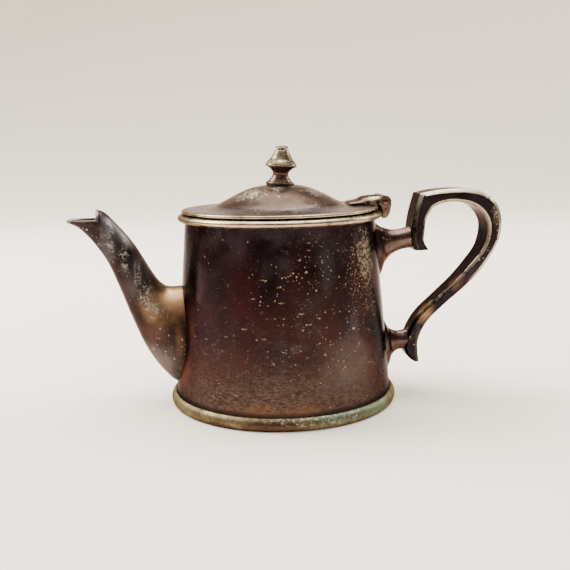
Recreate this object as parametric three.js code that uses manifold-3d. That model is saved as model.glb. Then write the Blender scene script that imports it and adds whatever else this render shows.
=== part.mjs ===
// A one-pint teapot in silver-plated nickel silver: a round tapered body with a
// half-round foot and rim, a hinged domed lid with a turned finial, a curved
// spout and a flat-sided loop handle on two flared sockets.
// Millimetres, +Z up. The spout points along -X and the handle along +X.

import * as THREE from "three";
import { mergeVertices } from "three/addons/utils/BufferGeometryUtils.js";
import Module from "manifold-3d";

const wasm = await Module();
wasm.setup();

// ---------------------------------------------------------------- dimensions

const SHEET = 1.0; // thickness of the body and spout metal
const GAP = 0.3; // clearance between neighbouring pieces
const ROUND = 48; // facets round the body and lid
const ROUND_SMALL = 20; // facets round the finial and spout
const ROUND_PIN = 14; // facets round hinge knuckles and screw parts

const BODY_FOOT_RADIUS = 52.8; // outside of the wall at its lower edge
const BODY_FOOT_Z = 1.9;
const BODY_TOP_RADIUS = 45.2; // outside of the wall at its upper edge
const BODY_TOP_Z = 91.1;

const FOOT_RADIUS = 55.2; // widest part of the foot ring
const FOOT_HEIGHT = 5.8;
const FOOT_BASE_RADIUS = 54.0; // where the foot ring meets the table
const FOOT_INNER_RADIUS = 50.8;

const BEAD_RADIUS = 49.0; // widest part of the rim bead
const BEAD_Z = 89.5;
const BEAD_HALF_HEIGHT = 1.9;

const LID_RADIUS = 47.0;
const LID_UNDERSIDE_Z = 91.75;
const LID_SHEET = 0.9;
const LID_EDGE_WIDTH = 1.7; // flat wire that stiffens the edge of the brim
const LID_HOLE_RADIUS = 2.3;

const COLLAR_RADIUS = 43.6; // collar that drops inside the mouth
const COLLAR_BOTTOM_Z = 85.6;
const COLLAR_TOP_Z = 92.0;

const HINGE_X = 49.6; // hinge pin axis
const HINGE_Z = 95.1;
const HINGE_HALF_WIDTH = 9.2;
const KNUCKLE_RADIUS = 3.0;
const KNUCKLE_HALF_LENGTH = 6.0;
const PIN_RADIUS = 1.1;
const PIN_CLEARANCE = 0.15;

const FINIAL_BASE_Z = 104.45;
const FINIAL_LEAN = THREE.MathUtils.degToRad(4.5); // the finial leans a little to the handle
const FINIAL_SHIFT = 0.4; // and sits a little off centre
const STUD_RADIUS = 1.4;

const HANDLE_CHAMFER = 1.3;
const MOST_CHAMFER = 0.3; // largest share of the bar's thickness, where it thins at the tail
const CUT_HALF_WIDTH = 22; // half width of cutting bars, wider than the spout and hinge
const BELOW_TABLE_Z = -5; // cutting solids start here

// ------------------------------------------------------------------- outlines

// Top of the lid as [radius, height]: flat brim, cove, then the dome.
const LID_TOP = [
  [LID_RADIUS - LID_EDGE_WIDTH - GAP, 93.2], [35, 93.5], [31.6, 94.3], [28.6, 96.0],
  [22.0, 99.2], [16, 101.9], [10, 103.5], [LID_HOLE_RADIUS, 104.15],
];

// Spout stations from body to lip: [top x, top z, bottom x, bottom z, half width].
const SPOUT = [
  [-40.0, 57.8, -43.0, 6.5, 18.2], [-50.4, 56.8, -52.4, 10.3, 16.8],
  [-55.4, 57.2, -56.6, 14.0, 15.0], [-59.1, 60.1, -61.7, 20.2, 13.0],
  [-62.6, 65.4, -67.2, 29.8, 11.0], [-65.9, 71.4, -72.7, 43.6, 9.8],
  [-69.4, 77.3, -77.5, 57.2, 8.8], [-73.7, 83.3, -82.1, 68.9, 8.0],
  [-78.2, 88.5, -86.9, 76.9, 7.3], [-82.4, 92.9, -92.0, 83.3, 6.9],
  [-86.7, 94.8, -96.8, 87.3, 6.6], [-93.0, 96.4, -102.6, 89.4, 6.4],
];

// The mouth is a notch cut from the side: a level lower lip and a steep back.
const SPOUT_NOTCH = [
  [-112, 80], [-100.3, 87.6], [-99.4, 90.3], [-85.9, 89.9], [-86.2, 94.6], [-88.0, 112],
  [-112, 112],
];

// Handle stations as [outer x, outer z, inner x, inner z, half width]: the upright
// leg, then the loop from the sharp upper corner to the tail, narrowing downwards.
const HANDLE_LEG = [
  [65.0, 71.0, 71.6, 71.2, 8.2], [63.3, 75.6, 69.3, 75.4, 8.2], [63.4, 81.5, 69.6, 80.6, 8.2],
  [64.6, 88.8, 70.3, 86.0, 8.2], [67.2, 98.3, 73.3, 91.4, 8.2],
];
const HANDLE_LOOP = [
  [67.2, 98.3, 73.3, 91.4, 8.2], [74.5, 99.7, 77.0, 93.2, 8.2], [82.5, 100.3, 82.0, 94.1, 8.2],
  [90.8, 100.0, 87.6, 93.8, 8.2], [99.0, 98.0, 93.4, 92.2, 8.2], [105.2, 93.1, 98.1, 88.5, 8.2],
  [108.0, 86.0, 100.9, 83.2, 8.2], [107.9, 78.2, 100.9, 77.2, 8.2], [105.5, 71.3, 98.7, 70.5, 7.9],
  [99.3, 61.1, 93.4, 63.5, 7.4], [91.1, 52.4, 86.5, 55.9, 6.8], [82.1, 44.6, 78.0, 48.2, 6.2],
  [73.9, 36.9, 69.5, 40.7, 5.8], [69.8, 31.0, 64.6, 34.4, 5.6], [67.6, 25.0, 61.6, 27.4, 5.6],
  [67.5, 20.2, 60.7, 21.2, 5.6], [67.9, 16.2, 62.8, 17.0, 5.6], [67.8, 14.7, 65.6, 14.8, 5.4],
];

// Socket stations from body to handle: [top x, top z, bottom x, bottom z, half width].
const UPPER_SOCKET = [
  [42.0, 88.0, 45.5, 53.0, 12.5], [46.4, 84.5, 49.2, 59.6, 9.2], [50.0, 82.0, 51.2, 64.8, 6.8],
  [54.6, 80.7, 54.9, 68.9, 5.4], [59.0, 81.0, 59.3, 70.9, 5.1], [66.5, 82.6, 66.5, 72.3, 6.2],
];
const LOWER_SOCKET = [
  [47.5, 40.5, 50.5, 6.5, 11.0], [51.0, 35.9, 53.3, 13.0, 8.0], [53.0, 32.2, 54.8, 17.4, 6.0],
  [56.2, 30.2, 57.2, 19.9, 4.9], [59.6, 30.0, 59.8, 20.5, 4.7], [64.0, 30.6, 64.0, 20.4, 5.4],
];

// ------------------------------------------------------------------- geometry

// A closed mesh as a manifold-3d solid.
function solidOf(geometry) {
  const bare = geometry.clone();
  bare.deleteAttribute("normal");
  bare.deleteAttribute("uv");
  const weld = 1e-4;
  const merged = mergeVertices(bare, weld);
  return new wasm.Manifold(
    new wasm.Mesh({
      numProp: 3,
      vertProperties: merged.attributes.position.array,
      triVerts: new Uint32Array(merged.index.array),
    }),
  );
}

// A manifold-3d solid as a mesh with its name and finish.
function meshOf(name, solid, material) {
  const cut = solid.getMesh();
  const geometry = new THREE.BufferGeometry();
  geometry.setAttribute("position", new THREE.BufferAttribute(cut.vertProperties, 3));
  geometry.setIndex(new THREE.BufferAttribute(cut.triVerts, 1));
  geometry.computeVertexNormals();
  const mesh = new THREE.Mesh(geometry, material);
  mesh.name = name;
  return mesh;
}

// A ring or disc turned about Z from an outline of [radius, height] pairs.
// An outline that leaves the axis is closed back to its first point.
function turned(outline, facets) {
  const points = outline.map(([r, z]) => new THREE.Vector2(r, z));
  if (THREE.ShapeUtils.area(points) < 0) points.reverse();
  const first = points[0];
  const last = points[points.length - 1];
  if (first.x > 0 || last.x > 0) points.push(first.clone());
  const geometry = new THREE.LatheGeometry(points, facets);
  geometry.rotateX(Math.PI / 2);
  return solidOf(geometry);
}

// A bar of a flat outline of [x, z] pairs, reaching from y0 to y1.
function bar(outline, y0, y1) {
  const shape = new THREE.Shape(outline.map(([x, z]) => new THREE.Vector2(x, z)));
  const geometry = new THREE.ExtrudeGeometry(shape, { depth: y1 - y0, bevelEnabled: false });
  geometry.rotateX(Math.PI / 2);
  geometry.translate(0, y1, 0);
  return solidOf(geometry);
}

// A round rod along Y from y0 to y1, centred on x, z.
function crossRod(radius, x, z, y0, y1) {
  const geometry = new THREE.CylinderGeometry(radius, radius, y1 - y0, ROUND_PIN);
  geometry.translate(x, (y0 + y1) / 2, z);
  return solidOf(geometry);
}

// A solid skinned over a row of rings that all have the same number of points.
function skinned(rings) {
  const count = rings[0].length;
  const positions = [];
  for (const ring of rings) for (const p of ring) positions.push(p.x, p.y, p.z);
  const faces = [];
  for (let i = 0; i < rings.length - 1; i++)
    for (let k = 0; k < count; k++) {
      const a = i * count + k;
      const b = i * count + ((k + 1) % count);
      faces.push(a, b, b + count, a, b + count, a + count);
    }
  for (const end of [0, rings.length - 1]) {
    const centre = rings[end].reduce((sum, p) => sum.add(p), new THREE.Vector3());
    centre.divideScalar(count);
    const hub = positions.length / 3;
    positions.push(centre.x, centre.y, centre.z);
    for (let k = 0; k < count; k++) {
      const a = end * count + k;
      const b = end * count + ((k + 1) % count);
      if (end === 0) faces.push(b, a, hub);
      else faces.push(a, b, hub);
    }
  }
  const geometry = new THREE.BufferGeometry();
  geometry.setAttribute("position", new THREE.Float32BufferAttribute(positions, 3));
  geometry.setIndex(faces);
  const solid = solidOf(geometry);
  if (solid.volume() > 0) return solid;
  geometry.setIndex(faces.reverse());
  return solidOf(geometry);
}

// Points evenly spread in parameter along a spline through [x, z] pairs.
function splinePoints(pairs, steps) {
  return new THREE.SplineCurve(pairs.map(([x, z]) => new THREE.Vector2(x, z))).getPoints(steps);
}

// Oval rings for stations of [top x, top z, bottom x, bottom z, half width],
// each made smaller all round by inset.
function ovalRings(stations, steps, inset) {
  const tops = splinePoints(stations.map((s) => [s[0], s[1]]), steps);
  const bottoms = splinePoints(stations.map((s) => [s[2], s[3]]), steps);
  const widths = splinePoints(stations.map((s, i) => [i, s[4]]), steps);
  return tops.map((top, i) => {
    const bottom = bottoms[i];
    const halfHeight = top.distanceTo(bottom) / 2 - inset;
    const halfWidth = widths[i].y - inset;
    const centre = top.clone().add(bottom).divideScalar(2);
    const up = top.clone().sub(bottom).normalize();
    const ring = [];
    for (let k = 0; k < ROUND_SMALL; k++) {
      const angle = (2 * Math.PI * k) / ROUND_SMALL;
      const rise = halfHeight * Math.cos(angle);
      ring.push(
        new THREE.Vector3(
          centre.x + up.x * rise,
          halfWidth * Math.sin(angle),
          centre.y + up.y * rise,
        ),
      );
    }
    return ring;
  });
}

// Rings of a chamfered rectangle between outer and inner edge points.
function handleRings(stations, steps) {
  const outers = splinePoints(stations.map((s) => [s[0], s[1]]), steps);
  const inners = splinePoints(stations.map((s) => [s[2], s[3]]), steps);
  const widths = splinePoints(stations.map((s, i) => [i, s[4]]), steps);
  return outers.map((outer, i) => {
    const inner = inners[i];
    const thickness = outer.distanceTo(inner);
    const out = outer.clone().sub(inner).normalize();
    const chamfer = Math.min(HANDLE_CHAMFER, thickness * MOST_CHAMFER);
    const wide = widths[i].y;
    const flat = wide - HANDLE_CHAMFER;
    const corner = (depth, y) =>
      new THREE.Vector3(inner.x + out.x * depth, y, inner.y + out.y * depth);
    return [
      corner(0, -flat),
      corner(chamfer, -wide),
      corner(thickness - chamfer, -wide),
      corner(thickness, -flat),
      corner(thickness, flat),
      corner(thickness - chamfer, wide),
      corner(chamfer, wide),
      corner(0, flat),
    ];
  });
}

// Outside radius of the body wall at a height.
function wallRadius(z) {
  const share = (z - BODY_FOOT_Z) / (BODY_TOP_Z - BODY_FOOT_Z);
  return BODY_FOOT_RADIUS + (BODY_TOP_RADIUS - BODY_FOOT_RADIUS) * share;
}

// Points of the half-round rim bead, grown outwards by margin.
function beadArc(margin) {
  const steps = 6;
  const arc = [];
  const root = wallRadius(BEAD_Z) + GAP;
  for (let i = 0; i <= steps; i++) {
    const angle = -Math.PI / 2 + (Math.PI * i) / steps;
    arc.push([
      root + (BEAD_RADIUS - root + margin) * Math.cos(angle),
      BEAD_Z + (BEAD_HALF_HEIGHT + margin) * Math.sin(angle),
    ]);
  }
  return arc;
}

// The space held by the body wall and rim bead, grown by the gap.
function bodyKeepOut() {
  const underBead = BEAD_Z - 3;
  return turned(
    [
      [0, BELOW_TABLE_Z],
      [wallRadius(BELOW_TABLE_Z) + GAP, BELOW_TABLE_Z],
      [wallRadius(underBead) + GAP, underBead],
      ...beadArc(GAP),
      [0, BEAD_Z + BEAD_HALF_HEIGHT + GAP],
    ],
    ROUND,
  );
}

// The space below the top of the lid, grown by the gap.
function lidKeepOut() {
  const outline = LID_TOP.map(([r, z]) => [r, z + GAP]);
  const insideMouth = COLLAR_BOTTOM_Z - 5;
  return turned(
    [
      [0, insideMouth],
      [LID_RADIUS + GAP, insideMouth],
      [LID_RADIUS + GAP, LID_TOP[0][1] + GAP],
      ...outline,
      [0, outline[outline.length - 1][1]],
    ],
    ROUND,
  );
}

// ------------------------------------------------------------------- finishes

const finish = (name, color, roughness) =>
  new THREE.MeshStandardMaterial({ name, color, roughness, metalness: 1 });
const tarnishedPlate = finish("tarnished_plate", 0x4a332b, 0.32);
const bareNickel = finish("bare_nickel", 0xa89a72, 0.4);
const innerPlate = finish("inner_plate", 0x6e6459, 0.45);
const hingeMetal = finish("hinge_metal", 0x5e4c3e, 0.4);

// --------------------------------------------------------------------- pieces

// Straight tapered wall, pierced behind the spout to hold back the leaves.
function bodyShell() {
  const wall = turned(
    [
      [wallRadius(BODY_FOOT_Z) - SHEET, BODY_FOOT_Z],
      [BODY_FOOT_RADIUS, BODY_FOOT_Z],
      [BODY_TOP_RADIUS, BODY_TOP_Z],
      [BODY_TOP_RADIUS - SHEET, BODY_TOP_Z],
    ],
    ROUND,
  );
  const holeRadius = 1.7;
  const holeFacets = 10;
  const rowPitch = 6.6;
  const holePitch = 6.4;
  const middleZ = 33.5;
  const drillX = -50; // middle of the drill, at the wall
  const drillLength = 30;
  const holes = [];
  for (let row = -2; row <= 2; row++) {
    const inRow = row % 2 === 0 ? 3 : 2;
    for (let k = 0; k < inRow; k++) {
      const y = (k - (inRow - 1) / 2) * holePitch;
      const drill = new THREE.CylinderGeometry(holeRadius, holeRadius, drillLength, holeFacets);
      drill.rotateZ(Math.PI / 2);
      drill.translate(drillX, y, middleZ + row * rowPitch);
      holes.push(solidOf(drill));
    }
  }
  return holes.reduce((pierced, hole) => pierced.subtract(hole), wall);
}

// Dished floor that sits on the ledge of the foot ring.
function basePlate() {
  const edge = wallRadius(3) - SHEET - GAP;
  return turned(
    [
      [0, 3.4], [40, 3.4], [46, 2.2], [edge, 2.2], [edge, 3.2], [46.4, 3.2], [40.4, 4.4], [0, 4.4],
    ],
    ROUND,
  );
}

// Half-round foot moulding with an inner ledge under the wall.
function footRing() {
  const ledge = BODY_FOOT_Z - GAP;
  return turned(
    [
      [FOOT_INNER_RADIUS, 0],
      [FOOT_BASE_RADIUS, 0],
      [FOOT_RADIUS - 0.35, 1.0],
      [FOOT_RADIUS, 2.3],
      [FOOT_RADIUS - 0.25, 3.6],
      [FOOT_RADIUS - 0.95, 4.8],
      [FOOT_RADIUS - 1.8, 5.5],
      [wallRadius(FOOT_HEIGHT) + GAP, FOOT_HEIGHT],
      [wallRadius(ledge) + GAP, ledge],
      [FOOT_INNER_RADIUS, ledge],
    ],
    ROUND,
  );
}

// Half-round wire round the mouth.
function rimBead() {
  const bottom = BEAD_Z - BEAD_HALF_HEIGHT;
  const top = BEAD_Z + BEAD_HALF_HEIGHT;
  const arc = beadArc(0).slice(1, -1);
  return turned(
    [[wallRadius(bottom) + GAP, bottom], ...arc, [wallRadius(top) + GAP, top]],
    ROUND,
  );
}

// Hollow curved spout, saddle-cut to the body and notched at the lip.
function spout() {
  const steps = 18;
  const outside = skinned(ovalRings(SPOUT, steps, 0));
  const inside = skinned(ovalRings(SPOUT, steps, SHEET));
  const insideBody = bar([[-46, 3], [-30, 3], [-30, 62], [-46, 62]], -CUT_HALF_WIDTH, CUT_HALF_WIDTH);
  return outside
    .subtract(inside)
    .subtract(bodyKeepOut())
    .subtract(insideBody)
    .subtract(bar(SPOUT_NOTCH, -CUT_HALF_WIDTH, CUT_HALF_WIDTH));
}

// One flat-sided bar: upright leg, sharp upper corner, loop and tail.
function handleGrip() {
  const legSteps = 8;
  const loopSteps = 30;
  const leg = handleRings(HANDLE_LEG, legSteps);
  const loop = handleRings(HANDLE_LOOP, loopSteps);
  return skinned([...leg, ...loop.slice(1)]);
}

// A flared arm from the body to the handle, cut to fit both.
function socket(stations) {
  const steps = 9;
  const clearance = GAP + 0.05; // a little over the gap, for the slant of the leg
  const handle = handleGrip();
  return skinned(ovalRings(stations, steps, 0))
    .subtract(bodyKeepOut())
    .subtract(handle)
    .subtract(handle.translate(-clearance, 0, 0));
}

// Side view of the hinge bracket's strap, and of an ear's arm above it.
const STRAP = [
  [44, 86.7], [47.6, 86.8], [50.0, 87.4], [51.4, 89.0], [52.1, 91.4], [44, 91.4],
];
const EAR_ARM = [
  [48.2, 88.6], [51.6, 89.6], [HINGE_X + KNUCKLE_RADIUS - 0.1, HINGE_Z - 0.4], [46.95, HINGE_Z - 0.6],
];

// Strap on the rim bead with an ear at each side for the pin.
function hingeBracket() {
  let bracket = bar(STRAP, -HINGE_HALF_WIDTH, HINGE_HALF_WIDTH);
  for (const side of [-1, 1]) {
    const near = side * (KNUCKLE_HALF_LENGTH + GAP);
    const far = side * HINGE_HALF_WIDTH;
    const y0 = Math.min(near, far);
    const y1 = Math.max(near, far);
    bracket = bracket.add(bar(EAR_ARM, y0, y1));
    bracket = bracket.add(crossRod(KNUCKLE_RADIUS, HINGE_X, HINGE_Z, y0, y1));
  }
  const knuckleRoom = KNUCKLE_RADIUS + GAP;
  const inner = KNUCKLE_HALF_LENGTH + GAP;
  const beadTop = BEAD_Z + BEAD_HALF_HEIGHT;
  const besideBrim = bar([[30, beadTop], [60, beadTop], [60, 99], [30, 99]], -CUT_HALF_WIDTH, CUT_HALF_WIDTH);
  return bracket
    .subtract(pinBore())
    .subtract(crossRod(knuckleRoom, HINGE_X, HINGE_Z, -inner, inner))
    .subtract(bodyKeepOut())
    .subtract(lidKeepOut().intersect(besideBrim));
}

// The hole for the pin, right through the hinge.
function pinBore() {
  return crossRod(PIN_RADIUS + PIN_CLEARANCE, HINGE_X, HINGE_Z, -CUT_HALF_WIDTH, CUT_HALF_WIDTH);
}

// Plain pin, standing just proud of the ears.
function hingePin() {
  const reach = HINGE_HALF_WIDTH + 0.2;
  return crossRod(PIN_RADIUS, HINGE_X, HINGE_Z, -reach, reach);
}

// Crowned leaf on the brim, sweeping up to a knuckle between the ears.
function lidHingeLeaf() {
  const stations = [
    // x, half width, height at the edges, height at the middle
    [33.2, 6.6, 94.9, 95.1],
    [34.6, 7.2, 95.3, 95.6],
    [37.4, 7.2, 95.5, 96.4],
    [40.0, 7.2, 95.7, 97.6],
    [42.0, 7.2, 95.8, 97.9],
    [42.9, KNUCKLE_HALF_LENGTH, 95.9, 97.9],
    [46.5, KNUCKLE_HALF_LENGTH, 97.2, 98.1],
    [HINGE_X, KNUCKLE_HALF_LENGTH, 97.9, HINGE_Z + KNUCKLE_RADIUS],
  ];
  const acrossSteps = 8;
  const bottom = 92.4;
  const rings = stations.map(([x, half, edge, middle]) => {
    const ring = [];
    for (let k = 0; k <= acrossSteps; k++) {
      const across = (2 * k) / acrossSteps - 1;
      const z = edge + (middle - edge) * (1 - across * across);
      ring.push(new THREE.Vector3(x, half * across, z));
    }
    ring.push(new THREE.Vector3(x, half, bottom), new THREE.Vector3(x, -half, bottom));
    return ring;
  });
  const length = KNUCKLE_HALF_LENGTH;
  const neckZ = HINGE_Z - 1;
  const underNeck = bar([[47, 88], [60, 88], [60, neckZ], [47, neckZ]], -CUT_HALF_WIDTH, CUT_HALF_WIDTH);
  return skinned(rings)
    .subtract(underNeck)
    .add(crossRod(KNUCKLE_RADIUS, HINGE_X, HINGE_Z, -length, length))
    .subtract(pinBore())
    .subtract(lidKeepOut());
}

// Lid pressed from thin sheet.
function lidShell() {
  const underside = LID_TOP.map(([r, z]) => [r, z - LID_SHEET]);
  return turned([...LID_TOP, ...underside.reverse()], ROUND);
}

// Rounded wire soldered round the edge of the brim.
function lidEdgeWire() {
  const inner = LID_RADIUS - LID_EDGE_WIDTH;
  const top = LID_TOP[0][1];
  return turned(
    [
      [inner, LID_UNDERSIDE_Z],
      [LID_RADIUS - 0.3, LID_UNDERSIDE_Z],
      [LID_RADIUS, LID_UNDERSIDE_Z + 0.45],
      [LID_RADIUS - 0.05, top - 0.45],
      [LID_RADIUS - 0.5, top],
      [inner, top + 0.02],
    ],
    ROUND,
  );
}

// Plain collar under the lid with a rolled lower edge.
function lidCollar() {
  return turned(
    [
      [COLLAR_RADIUS - 1.2, COLLAR_BOTTOM_Z],
      [COLLAR_RADIUS - 0.2, COLLAR_BOTTOM_Z],
      [COLLAR_RADIUS, COLLAR_BOTTOM_Z + 0.6],
      [COLLAR_RADIUS, COLLAR_TOP_Z],
      [COLLAR_RADIUS - 0.9, COLLAR_TOP_Z],
      [COLLAR_RADIUS - 0.9, COLLAR_BOTTOM_Z + 1.0],
      [COLLAR_RADIUS - 1.2, COLLAR_BOTTOM_Z + 0.6],
    ],
    ROUND,
  );
}

// Finial pieces, with heights counted from the top of the dome: a waisted spool,
// a cone on it, and a stud through both with its washer and nut under the lid.
const bore = STUD_RADIUS + GAP;

function finialBase() {
  return turned(
    [
      [bore, 0.4], [6.2, 0.4], [6.7, 0.75], [6.0, 1.3], [5.0, 2.1], [4.2, 3.0], [3.75, 4.2],
      [3.85, 5.2], [4.5, 6.2], [5.6, 7.2], [6.9, 8.0], [7.5, 8.6], [7.4, 9.2], [6.9, 9.5],
      [bore, 9.5],
    ],
    ROUND_SMALL,
  );
}

function finialCap() {
  return turned(
    [
      [bore, 9.8], [6.7, 9.8], [6.75, 10.3], [5.7, 11.3], [4.75, 12.7], [3.9, 14.3],
      [3.1, 15.9], [2.6, 16.3], [bore, 16.3],
    ],
    ROUND_SMALL,
  );
}

function finialScrew() {
  return turned(
    [
      [0, -6.4], [STUD_RADIUS, -6.4], [STUD_RADIUS, 16.6], [2.6, 16.6], [2.9, 17.0],
      [2.8, 17.6], [2.2, 17.9], [0, 18.05],
    ],
    ROUND_PIN,
  );
}

function finialWasher() {
  return turned([[bore, -2.7], [5.0, -2.7], [5.0, -1.9], [bore, -1.9]], ROUND_PIN);
}

function finialNut() {
  const hexRadius = 3.4;
  const height = 2.4;
  const middleZ = -4.3;
  const threadRadius = bore - 0.1;
  const blank = new THREE.CylinderGeometry(hexRadius, hexRadius, height, 6);
  blank.rotateX(Math.PI / 2);
  blank.translate(0, 0, middleZ);
  const thread = turned([[0, -8], [threadRadius, -8], [threadRadius, 0], [0, 0]], ROUND_PIN);
  return solidOf(blank).subtract(thread);
}

// ------------------------------------------------------------------- assembly

const pot = new THREE.Group();
pot.add(
  meshOf("body_shell", bodyShell(), tarnishedPlate),
  meshOf("base_plate", basePlate(), innerPlate),
  meshOf("foot_ring", footRing(), bareNickel),
  meshOf("rim_bead", rimBead(), bareNickel),
  meshOf("spout", spout(), tarnishedPlate),
  meshOf("handle_grip", handleGrip(), tarnishedPlate),
  meshOf("upper_handle_socket", socket(UPPER_SOCKET), tarnishedPlate),
  meshOf("lower_handle_socket", socket(LOWER_SOCKET), tarnishedPlate),
  meshOf("hinge_bracket", hingeBracket(), hingeMetal),
  meshOf("hinge_pin", hingePin(), bareNickel),
);

const finial = new THREE.Group();
finial.position.set(FINIAL_SHIFT, 0, FINIAL_BASE_Z);
finial.rotation.y = FINIAL_LEAN;
finial.add(
  meshOf("finial_base", finialBase(), tarnishedPlate),
  meshOf("finial_cap", finialCap(), bareNickel),
  meshOf("finial_screw", finialScrew(), bareNickel),
  meshOf("finial_washer", finialWasher(), bareNickel),
  meshOf("finial_nut", finialNut(), bareNickel),
);

const lid = new THREE.Group();
lid.add(
  meshOf("lid_shell", lidShell(), tarnishedPlate),
  meshOf("lid_edge_wire", lidEdgeWire(), bareNickel),
  meshOf("lid_collar", lidCollar(), innerPlate),
  meshOf("lid_hinge_leaf", lidHingeLeaf(), hingeMetal),
  finial,
);

// The origin is midway between the spout lip and the back of the handle, on the table.
const teapot = new THREE.Group();
teapot.add(pot, lid);
teapot.updateMatrixWorld(true);
const extent = new THREE.Box3().setFromObject(teapot, true);
teapot.position.x = -(extent.min.x + extent.max.x) / 2;

export default teapot;
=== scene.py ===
"""A worn silver-plated teapot in its finished metal.

Every shape is a numpy surface in millimetres on the pot's own axis: +X to the handle,
-X to the spout, +Z up. place_mm() moves it into the row frame in metres.
"""

import math

import bpy
import numpy as np
from mathutils import Matrix, Vector


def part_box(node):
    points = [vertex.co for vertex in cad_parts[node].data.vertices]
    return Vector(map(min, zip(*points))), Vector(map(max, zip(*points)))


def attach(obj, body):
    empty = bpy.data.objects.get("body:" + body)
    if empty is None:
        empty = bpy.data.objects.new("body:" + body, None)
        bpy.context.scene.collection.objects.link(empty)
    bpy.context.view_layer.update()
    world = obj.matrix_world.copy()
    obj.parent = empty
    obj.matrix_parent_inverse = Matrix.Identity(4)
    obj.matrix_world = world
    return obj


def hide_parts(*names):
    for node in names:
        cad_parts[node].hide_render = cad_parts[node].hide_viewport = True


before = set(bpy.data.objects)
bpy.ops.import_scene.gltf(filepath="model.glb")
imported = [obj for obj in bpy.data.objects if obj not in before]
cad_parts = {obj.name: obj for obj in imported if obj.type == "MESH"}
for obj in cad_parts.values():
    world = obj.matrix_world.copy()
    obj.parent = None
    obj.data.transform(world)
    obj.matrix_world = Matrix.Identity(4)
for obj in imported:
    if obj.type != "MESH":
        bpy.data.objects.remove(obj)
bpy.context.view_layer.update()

# ---- dimensions

MM = 0.001
wall_low, wall_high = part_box("body_shell")
AXIS_X = (wall_low[0] + wall_high[0]) / 2 / MM  # the pot's axis in the row frame
WALL_FOOT_RADIUS = (wall_high[0] - wall_low[0]) / 2 / MM
WALL_FOOT_Z = wall_low[2] / MM
WALL_TOP_RADIUS = 45.2
WALL_TOP_Z = wall_high[2] / MM
SHEET = 1.0

BEAD_RADIUS = 49.0
BEAD_Z = 89.5
BEAD_HALF_HEIGHT = 1.95

LID_RADIUS = 47.0
LID_UNDERSIDE_Z = 91.7
LID_SHEET = 0.9
LID_EDGE_WIDTH = 1.7
LID_HOLE_RADIUS = 2.3

HINGE_X = 49.6
HINGE_Z = 95.1
HINGE_HALF_WIDTH = 9.2
KNUCKLE_RADIUS = 3.0
KNUCKLE_HALF_LENGTH = 6.0
PIN_RADIUS = 1.1
PIN_PROUD = 0.3  # how far the pin's heads stand out and spread
EAR_GAP = 0.35  # between the knuckle and each ear
LEAF_UNDERSIDE_Z = 92.9

COLLAR_INNER_RADIUS = 42.7
COLLAR_OUTER_RADIUS = 43.6
COLLAR_BOTTOM_Z = 85.6

FINIAL_BASE_Z = 104.45
FINIAL_LEAN = math.radians(4.5)
FINIAL_SHIFT = 0.4

# Flat chamfers along the handle's edges, and the rounding beside each.
INNER_CHAMFER = 1.1
OUTER_CHAMFER = 1.8
CHAMFER_SOFT = 0.28
MOST_CHAMFER = 0.3  # largest share of the bar's thickness

# Spout stations, root to lip: top x, top z, bottom x, bottom z, half width.
SPOUT = [
    (-40.0, 57.8, -43.0, 6.5, 18.2),
    (-50.4, 56.8, -52.4, 10.3, 16.8),
    (-55.4, 57.2, -56.6, 14.0, 15.0),
    (-59.1, 60.1, -61.7, 20.2, 13.0),
    (-62.6, 65.4, -67.2, 29.8, 11.0),
    (-65.9, 71.4, -72.7, 43.6, 9.8),
    (-69.4, 77.3, -77.5, 57.2, 8.8),
    (-73.7, 83.3, -82.1, 68.9, 8.0),
    (-78.2, 88.5, -86.9, 76.9, 7.3),
    (-82.4, 92.9, -92.0, 83.3, 6.9),
    (-86.7, 94.8, -96.8, 87.3, 6.6),
    (-93.0, 96.4, -102.6, 89.4, 6.4),
]
# The lip is cut away above and in front of these points, x and z.
NOTCH_TIP = (-99.4, 90.3)
NOTCH_CORNER = (-85.9, 89.9)
NOTCH_BACK = (-86.2, 94.6)
ROUNDING = 0.22
TIP_BLUNT = 0.35
LIP_WEAR = 0.52
LIP_WEAR_ROWS = 8

# Handle stations: outer x, outer z, inner x, inner z, half width. The leg, then the loop.
HANDLE_LEG = [
    (65.0, 71.0, 71.6, 71.2, 8.2),
    (63.3, 75.6, 69.3, 75.4, 8.2),
    (63.4, 81.5, 69.6, 80.6, 8.2),
    (64.6, 88.8, 70.3, 86.0, 8.2),
    (67.2, 98.3, 73.3, 91.4, 8.2),
]
HANDLE_LOOP = [
    (67.2, 98.3, 73.3, 91.4, 8.2),
    (74.5, 99.7, 77.0, 93.2, 8.2),
    (82.5, 100.3, 82.0, 94.1, 8.2),
    (90.8, 100.0, 87.6, 93.8, 8.2),
    (99.0, 98.0, 93.4, 92.2, 8.2),
    (105.2, 93.1, 98.1, 88.5, 8.2),
    (108.0, 86.0, 100.9, 83.2, 8.2),
    (107.9, 78.2, 100.9, 77.2, 8.2),
    (105.5, 71.3, 98.7, 70.5, 7.9),
    (99.3, 61.1, 93.4, 63.5, 7.4),
    (91.1, 52.4, 86.5, 55.9, 6.8),
    (82.1, 44.6, 78.0, 48.2, 6.2),
    (73.9, 36.9, 69.5, 40.7, 5.8),
    (69.8, 31.0, 64.6, 34.4, 5.6),
    (67.6, 25.0, 61.6, 27.4, 5.6),
    (67.5, 20.2, 60.7, 21.2, 5.6),
    (67.9, 16.2, 62.8, 17.0, 5.6),
    (67.8, 14.7, 65.6, 14.8, 5.4),
]

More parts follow.
